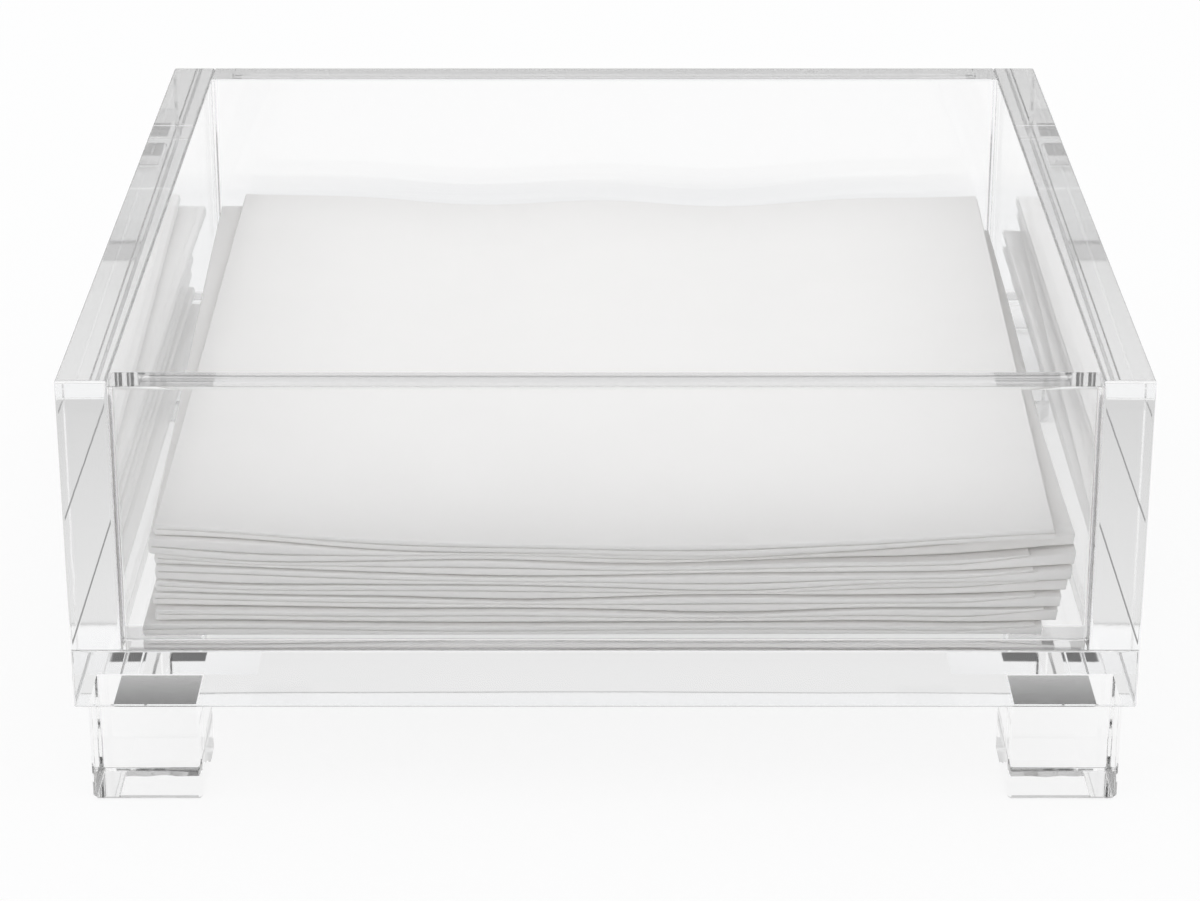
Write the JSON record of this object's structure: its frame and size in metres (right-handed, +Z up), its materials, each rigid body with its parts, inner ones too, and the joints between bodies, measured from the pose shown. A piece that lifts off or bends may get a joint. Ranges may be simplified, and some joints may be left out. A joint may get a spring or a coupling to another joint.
{
  "type": "cocktail napkin holder",
  "caption": "Open square tray of thick clear acrylic on cube feet, holding a stack of folded paper cocktail napkins that lift out.",
  "frame": {"origin": "on the table, under the middle of the tray's footprint", "axes": "+Z up, -Y towards the front of the tray, +X to the right as seen from the front"},
  "size_m": [0.152, 0.152, 0.066],
  "materials": {
    "clear_acrylic": "clear cast acrylic, flame polished",
    "napkin_paper": "soft white tissue, uncoated"
  },
  "bodies": {
    "holder": {"base_plate": "clear_acrylic", "front_wall": "clear_acrylic", "back_wall": "clear_acrylic", "left_wall": "clear_acrylic", "right_wall": "clear_acrylic", "foot_front_left": "clear_acrylic", "foot_front_right": "clear_acrylic", "foot_back_left": "clear_acrylic", "foot_back_right": "clear_acrylic"},
    "napkin_stack": {"napkin_01": "napkin_paper", "napkin_02": "napkin_paper", "napkin_03": "napkin_paper", "napkin_04": "napkin_paper", "napkin_05": "napkin_paper", "napkin_06": "napkin_paper", "napkin_07": "napkin_paper"},
    "top_napkin": {"napkin_08": "napkin_paper"}
  },
  "joints": [
    {"name": "stack_lift", "type": "slide", "parent": "holder", "child": "napkin_stack", "axis": [0, 0, 1], "range_m": [0, 0.06]},
    {"name": "top_napkin_lift", "type": "slide", "parent": "napkin_stack", "child": "top_napkin", "axis": [0, 0, 1], "range_m": [0, 0.06]}
  ]
}
